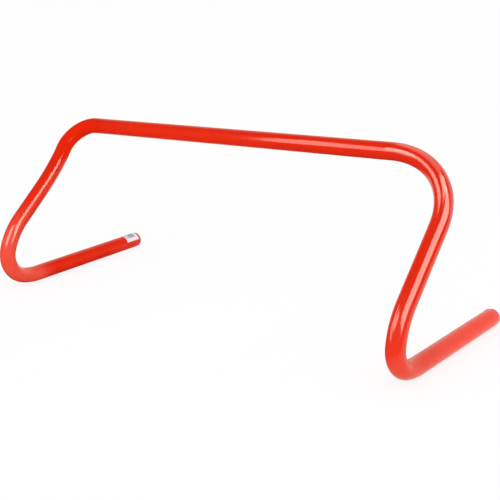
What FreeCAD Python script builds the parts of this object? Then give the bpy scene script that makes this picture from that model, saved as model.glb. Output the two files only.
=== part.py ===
import FreeCAD, Part
import math
import os

from FreeCAD import Vector

# Speed hurdle: one heat-bent plastic tube, an end plug in each foot and a paper label on the left foot.
# Millimetres. +X runs along the bar to the right foot, +Y runs back along the feet and +Z is up.
# The origin is on the floor, under the middle of the hurdle.

# Overall sizes
crossbar_height = 203.0  # floor to the top of the bar
foot_spacing = 590.0  # centre line of the left foot to that of the right foot
leg_splay = 11.0  # how far each foot stands outside the upper end of its leg
leg_reach = 214.0  # from the bar's line forward to the corner where leg and foot would meet
left_foot_reach = 85.0  # from the bar's line back to the left foot's tube end
right_foot_reach = 37.5  # from the bar's line back to the right foot's tube end

# Tube
tube_diameter = 20.0
tube_wall = 2.0

# Bends, as radii of the tube's centre line
top_left_bend_radius = 33.5
top_left_sweep_radius = 255.0  # slight reverse sweep of the left leg, below its top bend
top_left_sweep_share = 0.18  # how far the reverse sweep turns, as a share of the top bend's turn
top_right_bend_radius = 92.0
left_foot_bend_radius = 32.0
right_foot_bend_radius = 22.0
foot_bend_ease_radius = 80.0  # wider sweep where a foot bend runs out into the leg and the foot
leg_ease_share = 0.22  # share of a foot bend's turn that is in the sweep beside the leg
foot_ease_share = 0.12  # share of a foot bend's turn that is in the sweep beside the foot

# End plugs
plug_dome_height = 6.0
plug_edge_radius = 3.5  # round between the dome's rim and its crown
plug_rim_inset = 0.2  # step from the tube's outside down to the dome's rim
plug_crown_thickness = 2.0
plug_shank_length = 16.0
plug_shank_wall = 1.5
plug_shank_clearance = 0.5  # shank to bore, on the radius
plug_rib_clearance = 0.05  # rib's crest to bore, on the radius
plug_rib_count = 2
plug_rib_length = 3.0
plug_rib_pitch = 5.0
plug_first_rib = 3.0  # tube end to the first rib's crest

# Paper label
label_length = 22.5  # along the foot
label_wrap = 26.5  # around the tube
label_thickness = 0.15
label_glue_gap = 0.05
label_end_gap = 2.5  # label's edge to the tube end
label_corner_radius = 1.0

tube_radius = tube_diameter / 2
bore_radius = tube_radius - tube_wall
bar_level = crossbar_height - tube_radius
foot_level = tube_radius
foot_x = foot_spacing / 2
bar_end_x = foot_x - leg_splay


def bend_reach(arcs, turn):
    """How far a chain of tangent arcs runs on along its first heading, and how far off to its inner side."""
    ahead = 0.0
    aside = 0.0
    turned = 0.0
    for radius, share in arcs:
        after = turned + turn * share
        ahead += radius * (math.sin(after) - math.sin(turned))
        aside += radius * (math.cos(turned) - math.cos(after))
        turned = after
    return ahead, aside


def bend_edges(corner, heading, next_heading, arcs):
    """Tangent arcs, each a (radius, share of the turn), that round the corner between two headings.

    An arc whose radius and share are both negative sweeps the other way.
    """
    turn = heading.getAngle(next_heading)
    inward = (next_heading - heading * heading.dot(next_heading)).normalize()
    ahead, aside = bend_reach(arcs, turn)
    leave = aside / math.sin(turn)
    point = corner - heading * (ahead - leave * math.cos(turn))
    edges = []
    for radius, share in arcs:
        angle = turn * share
        middle = point + heading * (radius * math.sin(angle / 2)) + inward * (radius * (1 - math.cos(angle / 2)))
        end = point + heading * (radius * math.sin(angle)) + inward * (radius * (1 - math.cos(angle)))
        edges.append(Part.Arc(point, middle, end).toShape())
        old_heading = heading
        heading = heading * math.cos(angle) + inward * math.sin(angle)
        inward = inward * math.cos(angle) - old_heading * math.sin(angle)
        point = end
    return edges, point


def rounded_path(corners, bends):
    """One wire of straight runs through the corners, with a bend at each inner corner."""
    edges = []
    point = corners[0]
    for before, corner, after, arcs in zip(corners, corners[1:], corners[2:], bends):
        heading = (corner - before).normalize()
        next_heading = (after - corner).normalize()
        bend, bend_end = bend_edges(corner, heading, next_heading, arcs)
        edges.append(Part.LineSegment(point, bend[0].Vertexes[0].Point).toShape())
        edges.extend(bend)
        point = bend_end
    edges.append(Part.LineSegment(point, corners[-1]).toShape())
    return Part.Wire(edges)


def foot_bend(radius):
    """Arcs from the foot to the leg: a tight bend between two wider sweeps."""
    return [
        (foot_bend_ease_radius, foot_ease_share),
        (radius, 1 - foot_ease_share - leg_ease_share),
        (foot_bend_ease_radius, leg_ease_share),
    ]


def frame_tube():
    """The hollow tube: left foot, left leg, bar, right leg and right foot in one piece."""
    corners = [
        Vector(-foot_x, left_foot_reach, foot_level),
        Vector(-foot_x, -leg_reach, foot_level),
        Vector(-bar_end_x, 0, bar_level),
        Vector(bar_end_x, 0, bar_level),
        Vector(foot_x, -leg_reach, foot_level),
        Vector(foot_x, right_foot_reach, foot_level),
    ]
    top_left_bend = [
        (-top_left_sweep_radius, -top_left_sweep_share),
        (top_left_bend_radius, 1 + top_left_sweep_share),
    ]
    top_right_bend = [(top_right_bend_radius, 1)]
    left_foot_bend = foot_bend(left_foot_bend_radius)
    right_foot_bend = foot_bend(right_foot_bend_radius)[::-1]
    path = rounded_path(corners, [left_foot_bend, top_left_bend, top_right_bend, right_foot_bend])

    along_foot = Vector(0, 1, 0)
    outside = Part.Wire(Part.makeCircle(tube_radius, corners[0], along_foot))
    bore = Part.Wire(Part.makeCircle(bore_radius, corners[0], along_foot))
    solid_rod = path.makePipe(Part.Face(outside))
    hollow = path.makePipe(Part.Face(bore))
    tube = solid_rod.cut(hollow)
    expected = math.pi * (tube_radius ** 2 - bore_radius ** 2) * path.Length
    print("tube path %.1f mm, volume %.0f of %.0f mm3" % (path.Length, tube.Volume, expected))
    return tube


def arc_about(centre, radius, start, end):
    """Arc in the XY plane between two angles from +X."""
    points = [
        centre + Vector(radius * math.cos(angle), radius * math.sin(angle), 0)
        for angle in (start, (start + end) / 2, end)
    ]
    return Part.Arc(*points).toShape()


def end_plug():
    """Moulded plug about the Y axis: dome outside the tube end at y = 0, ribbed hollow shank inside the bore."""
    rim_radius = tube_radius - plug_rim_inset
    shank_radius = bore_radius - plug_shank_clearance
    rib_radius = bore_radius - plug_rib_clearance
    cup_radius = shank_radius - plug_shank_wall
    cup_floor = plug_dome_height - plug_crown_thickness

    points = [(rim_radius, 0), (shank_radius, 0)]
    for rib in range(plug_rib_count):
        crest = -plug_first_rib - rib * plug_rib_pitch
        points += [(shank_radius, crest), (rib_radius, crest), (shank_radius, crest - plug_rib_length)]
    points += [(shank_radius, -plug_shank_length), (cup_radius, -plug_shank_length)]
    points += [(cup_radius, cup_floor), (0, cup_floor), (0, plug_dome_height)]
    outline = [Vector(x, y, 0) for x, y in points]
    edges = [Part.LineSegment(a, b).toShape() for a, b in zip(outline, outline[1:])]

    # The dome's round edge is tangent to its spherical crown
    edge_centre = Vector(rim_radius - plug_edge_radius, 0, 0)
    crown_radius = (edge_centre.x ** 2 - plug_edge_radius ** 2 + plug_dome_height ** 2) / (
        2 * (plug_dome_height - plug_edge_radius)
    )
    crown_centre = Vector(0, plug_dome_height - crown_radius, 0)
    meet = math.atan2(edge_centre.y - crown_centre.y, edge_centre.x - crown_centre.x)
    edges.append(arc_about(crown_centre, crown_radius, math.pi / 2, meet))
    edges.append(arc_about(edge_centre, plug_edge_radius, meet, 0))
    half_section = Part.Face(Part.Wire(edges))
    return half_section.revolve(Vector(0, 0, 0), Vector(0, 1, 0), 360)


def paper_label():
    """Curved sheet about the Y axis, over the top of a tube whose end is at y = 0."""
    inner = tube_radius + label_glue_gap
    outer = inner + label_thickness
    half_angle = label_wrap / inner / 2

    def around(radius, angle):
        return Vector(radius * math.sin(angle), -label_end_gap, radius * math.cos(angle))

    edges = [
        Part.Arc(around(inner, -half_angle), around(inner, 0), around(inner, half_angle)).toShape(),
        Part.LineSegment(around(inner, half_angle), around(outer, half_angle)).toShape(),
        Part.Arc(around(outer, half_angle), around(outer, 0), around(outer, -half_angle)).toShape(),
        Part.LineSegment(around(outer, -half_angle), around(inner, -half_angle)).toShape(),
    ]
    sheet = Part.Face(Part.Wire(edges)).extrude(Vector(0, -label_length, 0))
    corners = [edge for edge in sheet.Edges if abs(edge.Length - label_thickness) < label_thickness / 10]
    return sheet.makeFillet(label_corner_radius, corners)


left_foot_end = Vector(-foot_x, left_foot_reach, foot_level)
right_foot_end = Vector(foot_x, right_foot_reach, foot_level)
pieces = {
    "frame_tube": frame_tube(),
    "left_end_plug": end_plug().translated(left_foot_end),
    "right_end_plug": end_plug().translated(right_foot_end),
    "paper_label": paper_label().translated(left_foot_end),
}

os.makedirs("parts", exist_ok=True)
box = Part.makeCompound(list(pieces.values())).optimalBoundingBox()
to_origin = Vector(-box.Center.x, -box.Center.y, -box.ZMin)
for name, piece in pieces.items():
    placed = piece.translated(to_origin)
    placed.exportStep("parts/" + name + ".step")
    print(name, placed.isValid(), len(placed.Solids), "solid, volume %.0f mm3" % placed.Volume)
print("box %.1f x %.1f x %.1f mm" % (box.XLength, box.YLength, box.ZLength))
print("bar's middle at x = %.2f, y = %.2f" % (to_origin.x, to_origin.y))
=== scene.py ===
import math

import bpy
from mathutils import Matrix, Vector


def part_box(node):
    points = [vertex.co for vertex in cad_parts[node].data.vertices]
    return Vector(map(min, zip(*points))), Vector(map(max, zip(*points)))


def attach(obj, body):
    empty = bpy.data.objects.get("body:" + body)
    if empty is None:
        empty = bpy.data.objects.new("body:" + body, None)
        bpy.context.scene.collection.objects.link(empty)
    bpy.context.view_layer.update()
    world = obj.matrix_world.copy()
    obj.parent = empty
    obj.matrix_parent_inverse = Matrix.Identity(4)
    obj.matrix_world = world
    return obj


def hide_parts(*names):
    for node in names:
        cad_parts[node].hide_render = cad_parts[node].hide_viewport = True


# Speed hurdle: a bent red tube, two end plugs and a paper label. Metres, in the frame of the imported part:
# +X runs along the bar to the right foot, +Y runs back along the feet and +Z is up from the floor.

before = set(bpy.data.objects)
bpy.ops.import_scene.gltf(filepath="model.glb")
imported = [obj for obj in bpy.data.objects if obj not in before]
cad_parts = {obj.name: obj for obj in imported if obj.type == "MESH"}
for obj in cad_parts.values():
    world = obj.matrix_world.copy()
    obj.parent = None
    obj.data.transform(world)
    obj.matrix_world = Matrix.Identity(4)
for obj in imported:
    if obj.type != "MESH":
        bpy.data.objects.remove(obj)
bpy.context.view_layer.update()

# Tube
tube_radius = 0.010
tube_wall = 0.002
foot_spacing = 0.590  # centre line of the left foot to that of the right foot
leg_splay = 0.011  # how far each foot stands outside the upper end of its leg
leg_reach = 0.214  # from the bar's line forward to the corner where leg and foot would meet
left_foot_reach = 0.085  # from the bar's line back to the left foot's tube end
right_foot_reach = 0.0375  # from the bar's line back to the right foot's tube end
top_left_bend_radius = 0.0335
top_left_sweep_radius = 0.255  # slight reverse sweep of the left leg, below its top bend
top_left_sweep_share = 0.18  # how far the reverse sweep turns, as a share of the top bend's turn
top_right_bend_radius = 0.092
left_foot_bend_radius = 0.032
right_foot_bend_radius = 0.022
foot_bend_ease_radius = 0.080  # wider sweep where a foot bend runs out into the leg and the foot
leg_ease_share = 0.22  # share of a foot bend's turn that is in the sweep beside the leg
foot_ease_share = 0.12  # share of a foot bend's turn that is in the sweep beside the foot
tube_lip = 0.0006  # round on the cut end's outer edge
bend_flattening = 0.03  # how much a bend of one tube diameter's radius flattens the tube
leg_painted_reflection_fade = 0.055  # length over which the painted floor reflection on the foot bends fades out along the leg
foot_painted_reflection_fade = 0.018  # and along the foot
right_painted_reflection_share = 0.10  # strength of the painted floor reflection on the right foot bend beside the left one
ring_segments = 64
lip_steps = 3
straight_step = 0.012  # about the distance between rings on a straight run
fewest_straight_rings = 2
bend_step = math.radians(3.5)  # about the turn between rings in a bend
fewest_bend_rings = 3
curvature_passes = 4  # rounds of easing where a bend meets a straight run

# End plugs
dome_height = 0.006
dome_edge_radius = 0.0035  # round between the dome's rim and its crown
rim_inset = 0.0002  # step from the tube's outside down to the dome's rim
rim_round = 0.0003  # round on the rim where it meets the tube end
rim_round_middle = 0.3  # how far the middle of that round draws in, as a share of it
shank_radius = 0.0075
shank_length = 0.016
shank_wall = 0.0015
crown_thickness = 0.002
rib_radius = 0.00795
rib_length = 0.003
rib_pitch = 0.005
rib_count = 2
first_rib = 0.003  # tube end to the first rib's crest
gate_radius = 0.0013  # mark of the mould's gate, in the middle of the dome
gate_depth = 0.00025
gate_floor_share = 0.7  # the mark's flat floor, as a share of its radius
crown_steps = 14
edge_steps = 10
plug_segments = 64
weld_distance = 1e-6

# Paper label
label_length = 0.0225  # along the foot
label_wrap = 0.0265  # around the tube
label_thickness = 0.00015
label_glue_gap = 0.00005
label_end_gap = 0.0025  # label's edge to the tube end
label_corner_radius = 0.001
label_corner_lift = 0.0004
label_lift_start = (0.72, 0.8)  # where the lifted corner begins, as shares of the length and of the wrap
label_rows = 24
label_columns = 28
sharp_angle = math.radians(40)  # edges of a plug or the label that are steeper than this are not smoothed

# Camera
camera_position = Vector((0.77669, -0.91634, 0.40857))
camera_heading = math.radians(38.971)
camera_pitch = math.radians(-16.643)
camera_roll = math.radians(-3.075)
camera_sensor = 36  # millimetres, as is the lens
camera_lens = 75.475
camera_shift = (-0.01616, 0.02419)
camera_clip = 0.01

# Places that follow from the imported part
tube_low, tube_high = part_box("frame_tube")
right_foot_x = tube_high.x - tube_radius
left_foot_x = right_foot_x - foot_spacing
bar_z = tube_high.z - tube_radius
foot_z = tube_low.z + tube_radius
bar_y = tube_high.y - left_foot_reach
left_foot_end = Vector((left_foot_x, bar_y + left_foot_reach, foot_z))
right_foot_end = Vector((right_foot_x, bar_y + right_foot_reach, foot_z))
foot_bend_top = bar_z / 3  # a bend that is lower than this is a foot bend
foot_line_top = 1.05 * tube_radius  # the centre line is lower than this along a foot


def linear(red, green, blue):
    """A colour written in display values from 0 to 255, as the shader takes it, by the sRGB curve."""
    def channel(value):
        share = value / 255
        return share / 12.92 if share <= 0.04045 else ((share + 0.055) / 1.055) ** 2.4
    return (channel(red), channel(green), channel(blue), 1.0)


# Looks that materials share
noise_most = (0.3, 0.7)  # range that holds most of a noise's values
noise_middle = (0.35, 0.65)  # narrower range, for more contrast
pure_white = (1.0, 1.0, 1.0, 1.0)

# Looks of the tube
tube_red = linear(238, 43, 11)
tube_red_deep = linear(231, 38, 9)
tube_red_stretched = linear(240, 50, 23)
# red of a foot bend under the painted reflection of the pale floor
tube_red_painted_reflection = linear(250, 92, 72)
# red of the right foot under painted light
tube_red_painted_light = linear(255, 44, 12)
tube_cloud_scale = 14
stretch_range = (0.05, 0.45)  # strain at which a bend's skin begins to turn paler and at which it is palest
stretch_share = 0.7  # how far it then is towards the stretched red
painted_reflection_patch_scale = 40
painted_reflection_patches = (0.64, 0.80)  # how far a foot bend's red is towards the painted floor reflection, in patches
painted_light_from_x = (0.20, 0.25)  # painted light that brightens the right foot's red begins here along +X
painted_light_from_y = (-0.10, 0.0)  # and here along +Y
painted_light_below_z = (0.045, 0.022)  # and here downwards
painted_light_share = 0.8
dull_bend = (-0.283, 0.020, 0.185)  # middle of the top left bend, whose skin has little gloss
dull_bend_edge = (0.033, 0.052)  # from dull to glossy, as distances from that middle
dull_specular = 0.02
glossy_specular = 0.5
die_line_scale = (9, 9, 1.2)  # fine across the tube and long along it
die_line_height = 0.00003
scratch_scale = (14, 14, 60)
scratch_range = (0.56, 0.72)  # only the highest values of the noise show as scuffs
tube_roughness = (0.13, 0.15)
wave_scale = 22
wave_height = 0.0003
tube_bump = 0.03

# Looks of the plugs
# red of the plugs, darker than the tube's as painted shade on their ends
plug_red_painted_shade = linear(188, 46, 32)
plug_red_deep_painted_shade = linear(176, 40, 28)
plug_cloud_scale = 120
plug_grain_scale = 2600
plug_grain_height = 0.00004
plug_bump = 0.25
plug_roughness = (0.26, 0.36)

# Looks of the label, with places on it as shares of its length and of its wrap
paper_white = linear(250, 240, 240)
paper_shade = linear(240, 231, 234)
print_grey = linear(150, 142, 162)
print_blue = linear(200, 213, 233)
print_edge = 0.012  # half the width of a soft printed edge
block_along = (0.30, 0.80)
block_around = (0.44, 0.80)
bar_waves = 150.0  # radians of the bars' wave along the whole label
bar_edge = (-0.3, 0.3)
bar_ink = (0.55, 1.0)  # ink between the bars and on them
stripe_along = (0.08, 0.24)
stripe_around = (0.30, 0.84)
fibre_scale = 900
fibre_height = 0.00003
fibre_bump = 0.4
paper_roughness = (0.5, 0.62)

# Stage
floor_half = 30.0  # half the floor's side
floor_pale = linear(232, 232, 232)
floor_shade = linear(228, 228, 228)
floor_grain_scale = 30
floor_roughness = 0.9
floor_glow_share = 0.72  # how much of what the camera sees of the floor is a glow, which takes no shadow
floor_glow_level = 1.12
floor_white_behind = (0.05, 0.25)  # from shade to white along +Y, behind the hurdle
floor_white_behind_left = (0.0, -0.25)  # and that white's start along -X
floor_white_beside = (0.18, 0.34)  # from shade to white along +X, at the right of the hurdle
floor_white_beside_front = (-0.35, -0.10)  # and that white's start along +Y
floor_white_level = 1.1  # brightness in reflections where the floor is white
floor_dim_level = 0.06  # and where it is in shade
studio_warmth = (1.0, 0.96, 0.84, 1.0)  # colour of the lamps and the room in reflections
fill_horizon = 1.55  # matt light from the horizon
fill_zenith = 0.40  # and from straight above
sun_level = 0.20
sun_angle = math.radians(70)
sun_direction = (-0.40, 0.85, -0.33)
backdrop_level = 1.0
backdrop_heading = (0.0, 1.0, 0.0)
backdrop_edge = (0.68, 0.80)  # from the dim room to the backdrop, as cosines from its heading
side_wall_level = 0.60
side_wall_heading = (-0.55, 0.79, 0.26)
side_wall_edge = (0.72, 0.88)
room_level = 0.03  # brightness of the room between the walls, in reflections


def add_object(name, data):
    """An object in the scene."""
    thing = bpy.data.objects.new(name, data)
    bpy.context.scene.collection.objects.link(thing)
    return thing


def make_object(name, vertices, faces):
    """A smooth-shaded mesh object in the scene."""
    mesh = bpy.data.meshes.new(name)
    mesh.from_pydata(vertices, [], faces)
    mesh.update()
    mesh.shade_smooth()
    return add_object(name, mesh)


def ring_faces(rings, segments, closed=False):
    """Quads between neighbouring rings of vertices."""
    faces = []
    spans = rings if closed else rings - 1
    for ring in range(spans):
        low = ring * segments
        high = ((ring + 1) % rings) * segments
        for side in range(segments):
            after = (side + 1) % segments
            faces.append((low + side, low + after, high + after, high + side))
    return faces


# Tube

def bend_reach(arcs, turn):
    """How far a chain of tangent arcs runs on along its first heading, and how far off to its inner side."""
    ahead = 0.0
    aside = 0.0
    turned = 0.0
    for radius, share in arcs:
        after = turned + turn * share
        ahead += radius * (math.sin(after) - math.sin(turned))
        aside += radius * (math.cos(turned) - math.cos(after))
        turned = after
    return ahead, aside


def straight_stations(start, end, inward):
    """Stations on a straight run, without its last point.

    Each is a place, a heading, the direction to the bend's centre and a curvature.
    """
    heading = (end - start).normalized()
    count = max(fewest_straight_rings, round((end - start).length / straight_step))
    return [(start.lerp(end, step / count), heading, inward, 0.0) for step in range(count)]


def bend_stations(point, heading, inward, arcs, turn):
    """Stations round a chain of tangent arcs, without the last point, and that point."""
    stations = []
    for radius, share in arcs:
        angle = turn * share
        count = max(fewest_bend_rings, round(abs(angle) / bend_step))
        centre = point + inward * radius
        for step in range(count):
            part = angle * step / count
            forward = heading * math.cos(part) + inward * math.sin(part)
            across = inward * math.cos(part) - heading * math.sin(part)
            stations.append((centre - across * radius, forward, across, 1 / radius))
        heading, inward = (
            heading * math.cos(angle) + inward * math.sin(angle),
            inward * math.cos(angle) - heading * math.sin(angle),
        )
        point = centre - inward * radius
    return stations, point


def foot_bend(radius):
    """Arcs from the foot to the leg: a tight bend between two wider sweeps."""
    return [
        (foot_bend_ease_radius, foot_ease_share),
        (radius, 1 - foot_ease_share - leg_ease_share),
        (foot_bend_ease_radius, leg_ease_share),
    ]


def tube_stations():
    """The tube's centre line from the left foot's end to the right foot's end."""
    corners = [
        left_foot_end,
        Vector((left_foot_x, bar_y - leg_reach, foot_z)),
        Vector((left_foot_x + leg_splay, bar_y, bar_z)),
        Vector((right_foot_x - leg_splay, bar_y, bar_z)),
        Vector((right_foot_x, bar_y - leg_reach, foot_z)),
        right_foot_end,
    ]
    top_left_bend = [
        (-top_left_sweep_radius, -top_left_sweep_share),
        (top_left_bend_radius, 1 + top_left_sweep_share),
    ]
    top_right_bend = [(top_right_bend_radius, 1)]
    left_foot_bend = foot_bend(left_foot_bend_radius)
    right_foot_bend = foot_bend(right_foot_bend_radius)[::-1]
    bends = [left_foot_bend, top_left_bend, top_right_bend, right_foot_bend]
    stations = []
    point = corners[0]
    for before, corner, after, arcs in zip(corners, corners[1:], corners[2:], bends):
        heading = (corner - before).normalized()
        next_heading = (after - corner).normalized()
        turn = heading.angle(next_heading)
        inward = (next_heading - heading * heading.dot(next_heading)).normalized()
        ahead, aside = bend_reach(arcs, turn)
        bend_start = corner - heading * (ahead - aside / math.tan(turn))
        stations += straight_stations(point, bend_start, inward)
        bend, point = bend_stations(bend_start, heading, inward, arcs, turn)
        stations += bend
        inward = bend[-1][2]
    stations += straight_stations(point, corners[-1], inward)
    stations.append((corners[-1], next_heading, inward, 0.0))
    return stations


def tube_frames(stations):
    """Adds to each station a direction that turns with the tube without twisting round it."""
    reference = Vector((0, 0, -1))
    frames = []
    for place, heading, inward, curvature in stations:
        reference = (reference - heading * reference.dot(heading)).normalized()
        frames.append((place, heading, inward, curvature, reference))
    return frames


def foot_bend_painted_reflection(frames):
    """Painted floor reflection at each station: most in a foot bend, fading to 0 along the leg and the foot.
    """
    travelled = [0.0]
    for before, after in zip(frames, frames[1:]):
        travelled.append(travelled[-1] + (after[0] - before[0]).length)
    bent = [
        length for length, (place, _, _, curvature, _) in zip(travelled, frames)
        if curvature > 0 and place.z < foot_bend_top
    ]
    values = []
    for length, (place, _, _, _, _) in zip(travelled, frames):
        gap = min(abs(length - other) for other in bent)
        share = 1.0 if place.x < 0 else right_painted_reflection_share
        fade = foot_painted_reflection_fade if place.z < foot_line_top else leg_painted_reflection_fade
        values.append(share * max(0.0, 1 - gap / fade))
    return values


def smooth_curvature(frames):
    """Curvature of each station, eased over its neighbours, since hot plastic bends without sudden steps."""
    values = [curvature for _, _, _, curvature, _ in frames]
    for _ in range(curvature_passes):
        padded = [values[0]] + values + [values[-1]]
        values = [
            (before + 2 * here + after) / 4
            for before, here, after in zip(padded, padded[1:], padded[2:])
        ]
    return values


def tube_rings():
    """The rings of the tube's skin: outside from the left end to the right end, and back inside the bore.

    Each is a frame, a radius, an offset along the heading, a curvature and the strength of the painted floor
    reflection.
    """
    frames = tube_frames(tube_stations())
    curvatures = smooth_curvature(frames)
    painted_reflection_shares = foot_bend_painted_reflection(frames)
    lip = []
    for step in range(lip_steps + 1):
        angle = math.pi / 2 * step / lip_steps
        lip.append((tube_radius - tube_lip * (1 - math.sin(angle)), tube_lip * (1 - math.cos(angle))))
    rings = [(frames[0], radius, offset, 0.0, 0.0) for radius, offset in lip]
    for item, curvature, pale in zip(frames[1:-1], curvatures[1:-1], painted_reflection_shares[1:-1]):
        rings.append((item, tube_radius, 0.0, curvature, pale))
    rings += [(frames[-1], radius, -offset, 0.0, 0.0) for radius, offset in reversed(lip)]
    rings += [(item, tube_radius - tube_wall, 0.0, 0.0, 0.0) for item in reversed(frames)]
    return rings


def build_tube():
    """The hollow bent tube, its cut ends rounded off, with what its material needs stored on its points."""
    rings = tube_rings()
    vertices = []
    around = []
    stretch = []
    painted_reflection = []
    travelled = 0.0
    old_middle = rings[0][0][0]
    for (place, heading, inward, _, reference), radius, offset, curvature, pale in rings:
        middle = place + heading * offset
        travelled += (middle - old_middle).length
        old_middle = middle
        third = heading.cross(reference)
        flat = bend_flattening * abs(curvature) * tube_radius * 2
        widened = 1 + flat / 2
        flattened = 1 - flat
        for side in range(ring_segments):
            angle = 2 * math.pi * side / ring_segments
            outward = reference * math.cos(angle) + third * math.sin(angle)
            toward = outward.dot(inward)
            spoke = outward * widened - inward * (toward * (widened - flattened))
            vertices.append(middle + spoke * radius)
            around.append((math.cos(angle), math.sin(angle), travelled))
            stretch.append(-toward * radius * curvature)
            painted_reflection.append(pale)
    piece = make_object("tube_body", vertices, ring_faces(len(rings), ring_segments, closed=True))
    lines = piece.data.attributes.new("die_lines", "FLOAT_VECTOR", "POINT")
    lines.data.foreach_set("vector", [value for item in around for value in item])
    strain = piece.data.attributes.new("stretch", "FLOAT", "POINT")
    strain.data.foreach_set("value", stretch)
    # strength of the painted floor reflection on the foot bends
    reflection_layer = piece.data.attributes.new("painted_reflection", "FLOAT", "POINT")
    reflection_layer.data.foreach_set("value", painted_reflection)
    add_tube_uv(piece, around)
    return piece


def add_tube_uv(piece, around):
    """UVs in tube diameters, along the tube and round it. A ring's last face goes up to the full turn."""
    layer = piece.data.uv_layers.new(name="tube")
    last_side = ring_segments - 1
    for polygon in piece.data.polygons:
        at_seam = any(vertex % ring_segments == last_side for vertex in polygon.vertices)
        for corner in polygon.loop_indices:
            vertex = piece.data.loops[corner].vertex_index
            side = vertex % ring_segments
            if side == 0 and at_seam:
                side = ring_segments
            share = side / ring_segments
            layer.data[corner].uv = (around[vertex][2] / (2 * tube_radius), share * math.pi)


# Plugs

def plug_profile():
    """Radius and height of the plug from the dome's middle round to the shank's hollow.

    The tube ends at height 0.
    """
    rim = tube_radius - rim_inset
    edge_x = rim - dome_edge_radius
    crown_rise = dome_height - dome_edge_radius
    crown_radius = (edge_x ** 2 - dome_edge_radius ** 2 + dome_height ** 2) / (2 * crown_rise)
    crown_y = dome_height - crown_radius
    meet = math.atan2(-crown_y, edge_x)
    gate_floor = dome_height - gate_depth
    profile = [(0.0, gate_floor), (gate_radius * gate_floor_share, gate_floor)]
    crown_start = math.acos(gate_radius / crown_radius)
    for step in range(crown_steps + 1):
        angle = crown_start + (meet - crown_start) * step / crown_steps
        profile.append((crown_radius * math.cos(angle), crown_y + crown_radius * math.sin(angle)))
    edge_end = math.asin(rim_round / dome_edge_radius)
    for step in range(1, edge_steps + 1):
        angle = meet + (edge_end - meet) * step / edge_steps
        profile.append((edge_x + dome_edge_radius * math.cos(angle), dome_edge_radius * math.sin(angle)))
    drawn_in = rim_round * rim_round_middle
    profile += [(rim - drawn_in, drawn_in), (rim - rim_round, 0.0), (shank_radius, 0.0)]
    for rib in range(rib_count):
        crest = -first_rib - rib * rib_pitch
        profile += [(shank_radius, crest), (rib_radius, crest), (shank_radius, crest - rib_length)]
    hollow_radius = shank_radius - shank_wall
    hollow_end = dome_height - crown_thickness
    profile += [(shank_radius, -shank_length), (hollow_radius, -shank_length)]
    profile += [(hollow_radius, hollow_end), (0.0, hollow_end)]
    return profile


def build_plug(name, tube_end):
    """A plug turned about the foot's line, its dome behind the tube end."""
    profile = plug_profile()
    vertices = []
    for radius, height in profile:
        for side in range(plug_segments):
            angle = 2 * math.pi * side / plug_segments
            spoke = Vector((math.sin(angle) * radius, height, math.cos(angle) * radius))
            vertices.append(tube_end + spoke)
    piece = make_object(name, vertices, ring_faces(len(profile), plug_segments))
    weld_doubles(piece)
    layer = piece.data.uv_layers.new(name="plug")
    for corner in piece.data.loops:
        place = piece.data.vertices[corner.vertex_index].co - tube_end
        layer.data[corner.index].uv = (0.5 + place.x / (2 * tube_radius), 0.5 + place.z / (2 * tube_radius))
    piece.data.set_sharp_from_angle(angle=sharp_angle)
    return piece


def weld_doubles(piece):
    """Joins the points that fall together on the turning axis."""
    weld = piece.modifiers.new("weld", "WELD")
    weld.merge_threshold = weld_distance
    shown = piece.evaluated_get(bpy.context.evaluated_depsgraph_get())
    mesh = bpy.data.meshes.new_from_object(shown)
    piece.modifiers.remove(weld)
    piece.data = mesh


# Label

def closer_at_ends(count):
    """Shares from 0 to 1 that are closer together near both ends."""
    return [(1 - math.cos(math.pi * step / count)) / 2 for step in range(count + 1)]


def corner_inset(along):
    """How far the label's side draws in where its corners are round."""
    into_corner = label_corner_radius - min(along, label_length - along)
    if into_corner <= 0:
        return 0.0
    return label_corner_radius - math.sqrt(label_corner_radius ** 2 - into_corner ** 2)


def corner_lift(row, column):
    """How far the label stands off the tube at its lifted corner."""
    row_start, column_start = label_lift_start
    row_share = max(0.0, row - row_start) / (1 - row_start)
    column_share = max(0.0, column - column_start) / (1 - column_start)
    return label_corner_lift * (row_share * column_share) ** 2


def label_faces():
    """Faces of the sheet's inner and outer layers and of the thin border between them."""
    width = label_columns + 1
    layer_size = width * (label_rows + 1)
    faces = []
    for row in range(label_rows):
        for column in range(label_columns):
            first = row * width + column
            quad = (first, first + width, first + width + 1, first + 1)
            faces.append(quad)
            faces.append(tuple(index + layer_size for index in reversed(quad)))
    border = list(range(width))
    border += [row * width + width - 1 for row in range(1, label_rows + 1)]
    border += [label_rows * width + column for column in range(width - 2, -1, -1)]
    border += [row * width for row in range(label_rows - 1, 0, -1)]
    for here, after in zip(border, border[1:] + border[:1]):
        faces.append((here, after, after + layer_size, here + layer_size))
    return faces


def build_label():
    """A thin curved sheet over the top of the left foot, with round corners, one of them lifted a little."""
    inner = tube_radius + label_glue_gap
    half_angle = label_wrap / inner / 2
    front = -label_end_gap - label_length
    vertices = []
    places = []
    for radius in (inner, inner + label_thickness):
        for row in closer_at_ends(label_rows):
            along = row * label_length
            reach = half_angle - corner_inset(along) / inner
            for column in closer_at_ends(label_columns):
                angle = reach * (2 * column - 1)
                lifted = radius + corner_lift(row, column)
                spoke = Vector((math.sin(angle) * lifted, front + along, math.cos(angle) * lifted))
                vertices.append(left_foot_end + spoke)
                places.append((row, 0.5 + angle / half_angle / 2))
    piece = make_object("label_sheet", vertices, label_faces())
    layer = piece.data.uv_layers.new(name="label")
    for corner in piece.data.loops:
        layer.data[corner.index].uv = places[corner.vertex_index]
    piece.data.set_sharp_from_angle(angle=sharp_angle)
    return piece


# Materials

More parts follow.
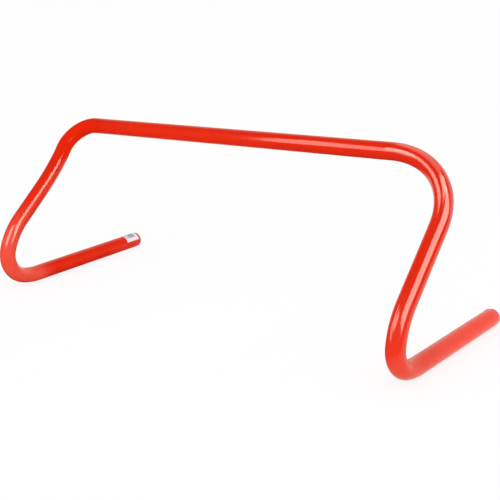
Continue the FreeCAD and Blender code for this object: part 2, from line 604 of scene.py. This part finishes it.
class Nodes:
    """A node tree, with short calls to add and join nodes."""

    def __init__(self, tree):
        self.tree = tree

    def add(self, kind, **settings):
        node = self.tree.nodes.new("ShaderNode" + kind)
        for key, value in settings.items():
            setattr(node, key, value)
        return node

    def feed(self, socket, value):
        """Joins another node's output to a socket, or sets the socket to a plain value."""
        if isinstance(value, bpy.types.NodeSocket):
            self.tree.links.new(value, socket)
        else:
            socket.default_value = value

    def attribute(self, name, output):
        return self.add("Attribute", attribute_name=name).outputs[output]

    def axes(self, vector):
        """Outputs for the X, Y and Z of a vector."""
        node = self.add("SeparateXYZ")
        self.feed(node.inputs["Vector"], vector)
        return node.outputs

    def scaled(self, vector, scale):
        node = self.add("Mapping")
        self.feed(node.inputs["Vector"], vector)
        self.feed(node.inputs["Scale"], scale)
        return node.outputs["Vector"]

    def noise(self, vector, scale=1.0, detail=3.0, roughness=0.5):
        node = self.add("TexNoise")
        values = {"Vector": vector, "Scale": scale, "Detail": detail, "Roughness": roughness}
        for key, value in values.items():
            self.feed(node.inputs[key], value)
        return node.outputs["Fac"]

    def remap(self, value, low, high, to_low=0.0, to_high=1.0, curve="LINEAR"):
        """Turns the range from low to high into the range from to_low to to_high, held at its ends."""
        node = self.add("MapRange", interpolation_type=curve)
        limits = {"From Min": low, "From Max": high, "To Min": to_low, "To Max": to_high}
        self.feed(node.inputs["Value"], value)
        for key, limit in limits.items():
            self.feed(node.inputs[key], limit)
        return node.outputs["Result"]

    def ease(self, value, low, high, to_low=0.0, to_high=1.0):
        """The same with a smooth start and end. A falling edge has low above high."""
        return self.remap(value, low, high, to_low, to_high, curve="SMOOTHSTEP")

    def blend(self, factor, first, second):
        node = self.add("MixShader")
        for socket, source in zip(node.inputs, (factor, first, second)):
            self.feed(socket, source)
        return node.outputs["Shader"]

    def mix(self, factor, first, second):
        node = self.add("Mix", data_type="RGBA")
        for key, value in {"Factor": factor, "A": first, "B": second}.items():
            self.feed(node.inputs[key], value)
        return node.outputs["Result"]

    def bump(self, height, distance, strength, before=None):
        node = self.add("Bump")
        for key, value in {"Height": height, "Distance": distance, "Strength": strength}.items():
            self.feed(node.inputs[key], value)
        if before is not None:
            self.feed(node.inputs["Normal"], before)
        return node.outputs["Normal"]

    def math(self, operation, *values):
        node = self.add("Math", operation=operation)
        for socket, value in zip(node.inputs, values):
            self.feed(socket, value)
        return node.outputs["Value"]

    def product(self, first, second):
        return self.math("MULTIPLY", first, second)


class Shader(Nodes):
    """The node tree of a new material."""

    def __init__(self, name):
        self.material = bpy.data.materials.new(name)
        self.material.use_nodes = True
        super().__init__(self.material.node_tree)
        self.surface = self.tree.nodes["Principled BSDF"]
        self.place = self.add("TexCoord").outputs["Object"]

    def set(self, socket, value):
        """Feeds one of the surface's own sockets."""
        self.feed(self.surface.inputs[socket], value)


def tube_colour(shader):
    """Red with faint clouds, paler where bends stretched it; painted floor reflection on foot bends, painted
    light on the right foot.
    """
    clouds = shader.remap(shader.noise(shader.place, tube_cloud_scale), *noise_middle)
    colour = shader.mix(clouds, tube_red, tube_red_deep)
    stretched = shader.remap(shader.attribute("stretch", "Fac"), *stretch_range, 0.0, stretch_share)
    colour = shader.mix(stretched, colour, tube_red_stretched)
    # painted reflection of the pale floor on the foot bends, in patches
    patches = shader.remap(shader.noise(shader.place, painted_reflection_patch_scale), *noise_most, *painted_reflection_patches)
    pale = shader.product(shader.attribute("painted_reflection", "Fac"), patches)
    colour = shader.mix(pale, colour, tube_red_painted_reflection)
    # painted light that brightens the right foot's red
    x, y, z = shader.axes(shader.place)
    right_foot_painted_light = shader.product(shader.ease(x, *painted_light_from_x), shader.ease(y, *painted_light_from_y))
    right_foot_painted_light = shader.product(right_foot_painted_light, shader.ease(z, *painted_light_below_z))
    return shader.mix(shader.product(right_foot_painted_light, painted_light_share), colour, tube_red_painted_light)


def tube_material():
    """Glossy extruded plastic with lines from the die, slight waves, scuffs and a dull top left bend."""
    shader = Shader("red_tube_plastic")
    shader.set("Base Color", tube_colour(shader))

    from_bend = shader.add("VectorMath", operation="DISTANCE")
    shader.feed(from_bend.inputs[0], shader.place)
    shader.feed(from_bend.inputs[1], dull_bend)
    shine = shader.ease(from_bend.outputs["Value"], *dull_bend_edge, dull_specular, glossy_specular)
    shader.set("Specular IOR Level", shine)

    along = shader.attribute("die_lines", "Vector")
    scratches = shader.noise(shader.scaled(along, scratch_scale), detail=6, roughness=0.7)
    shader.set("Roughness", shader.remap(scratches, *scratch_range, *tube_roughness))

    waves = shader.noise(shader.place, wave_scale, detail=1)
    lines = shader.noise(shader.scaled(along, die_line_scale), detail=2)
    normal = shader.bump(waves, wave_height, tube_bump)
    normal = shader.bump(lines, die_line_height, tube_bump, normal)
    shader.set("Normal", normal)
    return shader.material


def plug_material():
    """Moulded plastic with a fine satin grain, its red darkened as painted shade."""
    shader = Shader("red_plug_plastic")
    clouds = shader.remap(shader.noise(shader.place, plug_cloud_scale), *noise_middle)
    shader.set("Base Color", shader.mix(clouds, plug_red_painted_shade, plug_red_deep_painted_shade))
    grain = shader.noise(shader.place, plug_grain_scale, detail=2)
    shader.set("Roughness", shader.remap(grain, *noise_most, *plug_roughness))
    shader.set("Normal", shader.bump(grain, plug_grain_height, plug_bump))
    return shader.material


def band(shader, value, low, high):
    """1 where the value is between the two limits, with a soft printed edge."""
    rise = shader.remap(value, low - print_edge, low + print_edge)
    fall = shader.remap(value, high - print_edge, high + print_edge, 1.0, 0.0)
    return shader.product(rise, fall)


def label_material():
    """White paper with a plain grey block of printed bars and a pale blue stripe."""
    shader = Shader("label_paper")
    along, around, _ = shader.axes(shader.add("UVMap", uv_map="label").outputs["UV"])
    fibres = shader.noise(shader.place, fibre_scale, detail=4, roughness=0.65)
    colour = shader.mix(shader.remap(fibres, *noise_most), paper_white, paper_shade)
    wave = shader.math("SINE", shader.product(along, bar_waves))
    bars = shader.remap(wave, *bar_edge, *bar_ink)
    block = shader.product(band(shader, along, *block_along), band(shader, around, *block_around))
    colour = shader.mix(shader.product(block, bars), colour, print_grey)
    stripe = shader.product(band(shader, along, *stripe_along), band(shader, around, *stripe_around))
    colour = shader.mix(stripe, colour, print_blue)
    shader.set("Base Color", colour)
    shader.set("Roughness", shader.remap(fibres, *noise_most, *paper_roughness))
    shader.set("Normal", shader.bump(fibres, fibre_height, fibre_bump))
    return shader.material


def floor_material():
    """Pale floor that the camera sees nearly white and with a soft shadow.

    In reflections it is white behind the hurdle's left half and at its right, and in shade elsewhere.
    """
    shader = Shader("pale_floor")
    shader.set("Roughness", floor_roughness)
    grain = shader.remap(shader.noise(shader.place, floor_grain_scale), *noise_most)
    shader.set("Base Color", shader.mix(grain, floor_pale, floor_shade))
    path = shader.add("LightPath").outputs
    glow = shader.add("Emission")
    shader.feed(glow.inputs["Strength"], floor_glow_level)
    share = shader.product(path["Is Camera Ray"], floor_glow_share)
    seen = shader.blend(share, shader.surface.outputs["BSDF"], glow.outputs["Emission"])

    x, y, _ = shader.axes(shader.place)
    behind = shader.product(shader.ease(y, *floor_white_behind), shader.ease(x, *floor_white_behind_left))
    beside = shader.product(shader.ease(x, *floor_white_beside), shader.ease(y, *floor_white_beside_front))
    white = shader.math("MAXIMUM", behind, beside)
    mirrored = shader.add("Emission")
    shader.feed(mirrored.inputs["Color"], studio_warmth)
    level = shader.remap(white, 0.0, 1.0, floor_dim_level, floor_white_level)
    shader.feed(mirrored.inputs["Strength"], level)
    whole = shader.blend(path["Is Glossy Ray"], seen, mirrored.outputs["Emission"])
    shader.feed(shader.tree.nodes["Material Output"].inputs["Surface"], whole)
    return shader.material


# Stage

def build_floor():
    """A wide pale floor under the object."""
    signs = [(-1, -1), (1, -1), (1, 1), (-1, 1)]
    corners = [(x * floor_half, y * floor_half, 0) for x, y in signs]
    floor = make_object("studio_floor", corners, [(0, 1, 2, 3)])
    floor.data.materials.append(floor_material())


def build_world():
    """White to the camera, a matt fill that fades upwards, and in reflections a dim room with pale walls."""
    world = bpy.data.worlds.new("studio")
    bpy.context.scene.world = world
    world.use_nodes = True
    nodes = Nodes(world.node_tree)
    background = nodes.tree.nodes["Background"]
    path = nodes.add("LightPath").outputs
    direction = nodes.add("TexCoord").outputs["Generated"]

    def wall(heading, edge, level):
        toward = nodes.add("VectorMath", operation="DOT_PRODUCT")
        nodes.feed(toward.inputs[0], direction)
        nodes.feed(toward.inputs[1], heading)
        return nodes.ease(toward.outputs["Value"], *edge, room_level, level)

    behind = wall(backdrop_heading, backdrop_edge, backdrop_level)
    beside = wall(side_wall_heading, side_wall_edge, side_wall_level)
    mirrored = nodes.math("MAXIMUM", path["Is Glossy Ray"], path["Is Transmission Ray"])
    level = nodes.product(mirrored, nodes.math("MAXIMUM", behind, beside))
    seen = nodes.math("ADD", level, path["Is Camera Ray"])
    matt = nodes.math("SUBTRACT", 1.0, nodes.math("MAXIMUM", mirrored, path["Is Camera Ray"]))
    height = nodes.axes(direction)["Z"]
    fill = nodes.math("ADD", nodes.product(height, fill_zenith - fill_horizon), fill_horizon)
    strength = nodes.math("ADD", seen, nodes.product(matt, fill))
    nodes.feed(background.inputs["Strength"], strength)
    nodes.feed(background.inputs["Color"], nodes.mix(mirrored, pure_white, studio_warmth))


def softbox(name, centre, facing, upright, width, height, radiance, beam=180):
    """A rectangular studio lamp that shows in reflections alone.

    Facing is where it shines, upright is the direction of its height and beam is the angle of its light.
    """
    lamp = bpy.data.lights.new(name, "AREA")
    lamp.shape = "RECTANGLE"
    lamp.size = width
    lamp.size_y = height
    half_beam = math.radians(beam) / 2
    beam_share = 1 - half_beam / math.tan(half_beam)
    lamp.spread = 2 * half_beam
    lamp.energy = radiance * math.pi * width * height * beam_share
    lamp.color = studio_warmth[:3]
    holder = add_object(name, lamp)
    z_axis = -Vector(facing).normalized()
    y_axis = (Vector(upright) - z_axis * z_axis.dot(Vector(upright))).normalized()
    x_axis = y_axis.cross(z_axis)
    rotation = Matrix((x_axis, y_axis, z_axis)).transposed()
    holder.matrix_world = Matrix.Translation(Vector(centre)) @ rotation.to_4x4()
    holder.visible_diffuse = False


def build_lamps():
    """The softboxes whose reflections are the highlights on the tube."""
    softbox(
        "bar_softbox", width=0.51, height=0.60, radiance=4.8,
        centre=(-0.33, -0.60, 0.54), facing=(0.99, 0.05, 0.13), upright=(-0.14, 0.17, 0.98),
    )
    softbox(
        "right_softbox", width=0.76, height=1.15, radiance=8.5,
        centre=(0.875, -0.03, 0.70), facing=(-0.6, 0.0, -0.8), upright=(-0.22, 0.96, 0.17),
    )
    softbox(
        "bend_strip", width=0.090, height=0.022, radiance=5.8,
        centre=(0.208, -0.010, 0.235), facing=(0.74, 0.09, -0.67), upright=(0.28, 0.86, 0.42),
    )
    softbox(
        "bend_panel", width=0.166, height=0.080, radiance=9.5, beam=110,
        centre=(0.290, 0.059, 0.400), facing=(-0.15, -0.29, -0.95), upright=(0.84, -0.55, 0.0),
    )
    softbox(
        "bend_glow", width=0.22, height=0.22, radiance=1.6,
        centre=(0.17, 0.16, 0.45), facing=(0.26, -0.45, -0.85), upright=(0.0, 0.9, -0.4),
    )
    softbox(
        "right_kicker", width=0.110, height=0.115, radiance=6.5,
        centre=(0.210, -0.283, 0.235), facing=(0.33, 0.66, -0.67), upright=(-0.27, -0.57, -0.78),
    )
    softbox(
        "left_kicker", width=0.092, height=0.105, radiance=10.0, beam=80,
        centre=(-0.262, -0.225, 0.150), facing=(-0.18, 0.81, -0.56), upright=(0.0, -0.52, -0.85),
    )
    softbox(
        "left_strip", width=0.135, height=0.13, radiance=10.0,
        centre=(0.11, -0.122, 0.125), facing=(-1.0, 0.0, 0.0), upright=(0.0, 0.0, 1.0),
    )


def build_sun():
    """Weak wide light from over the camera's shoulder, for the matt part of every surface."""
    lamp = bpy.data.lights.new("soft_sun", "SUN")
    lamp.energy = sun_level * math.pi
    lamp.angle = sun_angle
    holder = add_object("soft_sun", lamp)
    holder.rotation_euler = Vector(sun_direction).to_track_quat("-Z", "Y").to_euler()
    holder.visible_glossy = False


def build_camera():
    """The photograph's camera."""
    camera = bpy.data.cameras.new("photo_camera")
    camera.sensor_width = camera_sensor
    camera.lens = camera_lens
    camera.shift_x, camera.shift_y = camera_shift
    camera.clip_start = camera_clip
    holder = add_object("photo_camera", camera)
    turn = (
        Matrix.Rotation(camera_heading, 4, "Z")
        @ Matrix.Rotation(math.pi / 2 + camera_pitch, 4, "X")
        @ Matrix.Rotation(camera_roll, 4, "Z")
    )
    holder.matrix_world = Matrix.Translation(camera_position) @ turn
    bpy.context.scene.camera = holder


# Scene

def fit_piece(piece, node, material):
    """Gives a piece its material and lets it stand for its CAD node."""
    piece.data.materials.append(material)
    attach(piece, "root")
    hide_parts(node)


bpy.context.scene.view_settings.view_transform = "Standard"
plug_plastic = plug_material()
fit_piece(build_tube(), "frame_tube", tube_material())
fit_piece(build_plug("left_plug_body", left_foot_end), "left_end_plug", plug_plastic)
fit_piece(build_plug("right_plug_body", right_foot_end), "right_end_plug", plug_plastic)
fit_piece(build_label(), "paper_label", label_material())

build_floor()
build_world()
build_lamps()
build_sun()
build_camera()
